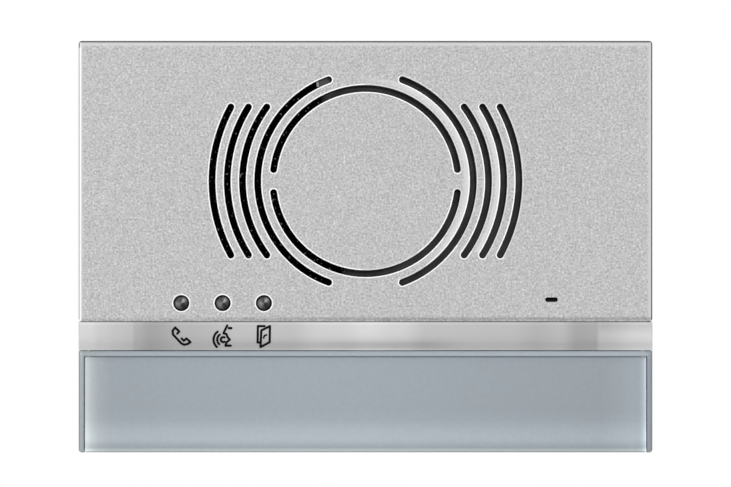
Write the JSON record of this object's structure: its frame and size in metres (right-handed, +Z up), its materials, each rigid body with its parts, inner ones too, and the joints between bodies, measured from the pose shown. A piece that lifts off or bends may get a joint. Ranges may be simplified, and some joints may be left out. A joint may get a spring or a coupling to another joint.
{
  "type": "door intercom audio module",
  "caption": "Flush-mounted door intercom audio module: metal face with a ringed loudspeaker grille, three indicator windows, a pictogram strip and one wide illuminated call button.",
  "frame": {"origin": "centre of the face that lies against the wall (the back of the wall seal)", "axes": "+X to the right as seen from the front, +Y into the wall, +Z up; the front faces -Y"},
  "size_m": [0.1, 0.0424, 0.0718],
  "materials": {
    "metal_face": "light grey metallic paint with a fine speckle",
    "satin_strip": "satin silver, soft reflections",
    "black_print": "black pad print",
    "tinted_acrylic": "blue-grey translucent acrylic, moulded",
    "milky_acrylic": "light diffusing acrylic",
    "card": "plain pale card",
    "smoked_lens": "smoked clear plastic, domed and polished",
    "black_abs": "black moulded plastic, fine spark texture",
    "grey_frame": "dark grey glass-filled plastic",
    "seal_rubber": "soft black foam rubber",
    "black_mesh": "fine black woven acoustic mesh",
    "zinc_steel": "zinc-plated steel",
    "pressed_steel": "pressed plated steel",
    "ferrite": "dark sintered ferrite",
    "doped_paper": "black doped paper cone",
    "spider_cloth": "amber impregnated cloth",
    "copper_wire": "enamelled copper winding",
    "phenolic": "brown phenolic paper",
    "lead_sleeve": "soft PVC sleeve, one red and one black",
    "nylon_natural": "natural nylon",
    "nickel_can": "nickel-plated can",
    "solder_mask": "green solder mask over glass-epoxy board",
    "led_package": "white package with pale yellow phosphor",
    "switch_black": "black moulded component body",
    "plunger_grey": "light grey moulded plunger",
    "spring_steel": "drawn spring steel",
    "capacitor_sleeve": "dark blue shrink sleeve, aluminium top",
    "relay_blue": "blue moulded relay case",
    "trimmer_blue": "blue moulded trimmer body",
    "rotor_white": "white moulded rotor and sliders",
    "dip_red": "red moulded switch block",
    "terminal_green": "green moulded terminal block"
  },
  "bodies": {
    "housing": {"mounting_frame": "grey_frame", "wall_seal": "seal_rubber", "rear_housing": "black_abs", "housing_screws": "zinc_steel", "chassis": "black_abs", "module_lock_screw": "zinc_steel", "front_plate": "metal_face", "plate_screws": "zinc_steel", "icon_strip": "satin_strip", "strip_icons": "black_print", "button_bezel": "tinted_acrylic", "light_pipe_call": "smoked_lens", "light_pipe_talk": "smoked_lens", "light_pipe_door": "smoked_lens", "speaker_mesh": "black_mesh", "speaker_gasket": "seal_rubber", "speaker_basket": "pressed_steel", "speaker_magnet": "ferrite", "speaker_yoke": "pressed_steel", "speaker_surround": "seal_rubber", "speaker_spider": "spider_cloth", "speaker_tag_strip": "phenolic", "speaker_clamps": "zinc_steel", "speaker_screws": "zinc_steel", "speaker_leads": "lead_sleeve", "speaker_plug": "nylon_natural", "mic_capsule": "nickel_can", "mic_boot": "seal_rubber", "mic_membrane": "black_mesh", "front_board": "solder_mask", "front_board_screws": "zinc_steel", "indicator_leds": "led_package", "backlight_leds": "led_package", "switch_left_body": "switch_black", "switch_right_body": "switch_black", "return_springs": "spring_steel", "board_header": "switch_black", "main_board": "solder_mask", "main_board_screws": "zinc_steel", "line_transformer": "copper_wire", "capacitors": "capacitor_sleeve", "processor_chip": "switch_black", "amplifier_chip": "switch_black", "lock_relay": "relay_blue", "trimmer_bodies": "trimmer_blue", "dip_switch_body": "dip_red", "terminal_header": "terminal_green", "terminal_plug": "terminal_green", "terminal_screws": "zinc_steel"},
    "call_button": {"button_tray": "milky_acrylic", "name_card": "card", "button_lens": "tinted_acrylic"},
    "left_plunger": {"switch_left_plunger": "plunger_grey"},
    "right_plunger": {"switch_right_plunger": "plunger_grey"},
    "cone_and_coil": {"speaker_cone": "doped_paper", "voice_coil": "copper_wire"},
    "speaker_volume_rotor": {"speaker_trimmer_rotor": "rotor_white"},
    "mic_gain_rotor": {"mic_trimmer_rotor": "rotor_white"},
    "first_slider": {"dip_slider_1": "rotor_white"},
    "second_slider": {"dip_slider_2": "rotor_white"}
  },
  "joints": [
    {"name": "button_press", "type": "hinge", "parent": "housing", "child": "call_button", "pos_m": [0, -0.0096, -0.0205], "axis": [1, 0, 0], "range_deg": [0, 2.5], "stiffness_Nm_per_rad": 0.5, "springref_deg": -2.86, "deforming": ["return_springs"]},
    {"name": "left_plunger_travel", "type": "slide", "parent": "housing", "child": "left_plunger", "axis": [0, 1, 0], "range_m": [0, 0.0005]},
    {"name": "right_plunger_travel", "type": "slide", "parent": "housing", "child": "right_plunger", "axis": [0, 1, 0], "range_m": [0, 0.0005]},
    {"name": "cone_travel", "type": "slide", "parent": "housing", "child": "cone_and_coil", "axis": [0, 1, 0], "range_m": [-0.0005, 0.0005], "stiffness_N_per_m": 500, "deforming": ["speaker_surround", "speaker_spider"]},
    {"name": "speaker_volume_turn", "type": "hinge", "parent": "housing", "child": "speaker_volume_rotor", "pos_m": [0.013, 0.0125, 0.014], "axis": [0, 1, 0], "range_deg": [-105, 105]},
    {"name": "mic_gain_turn", "type": "hinge", "parent": "housing", "child": "mic_gain_rotor", "pos_m": [0.025, 0.0125, 0.014], "axis": [0, 1, 0], "range_deg": [-105, 105]},
    {"name": "first_slider_travel", "type": "slide", "parent": "housing", "child": "first_slider", "axis": [1, 0, 0], "range_m": [0, 0.0023]},
    {"name": "second_slider_travel", "type": "slide", "parent": "housing", "child": "second_slider", "axis": [1, 0, 0], "range_m": [0, 0.0023]}
  ],
  "couplings": [
    {"joint": "left_plunger_travel", "follows": "button_press", "m_per_rad": 0.01},
    {"joint": "right_plunger_travel", "follows": "button_press", "m_per_rad": 0.01}
  ]
}
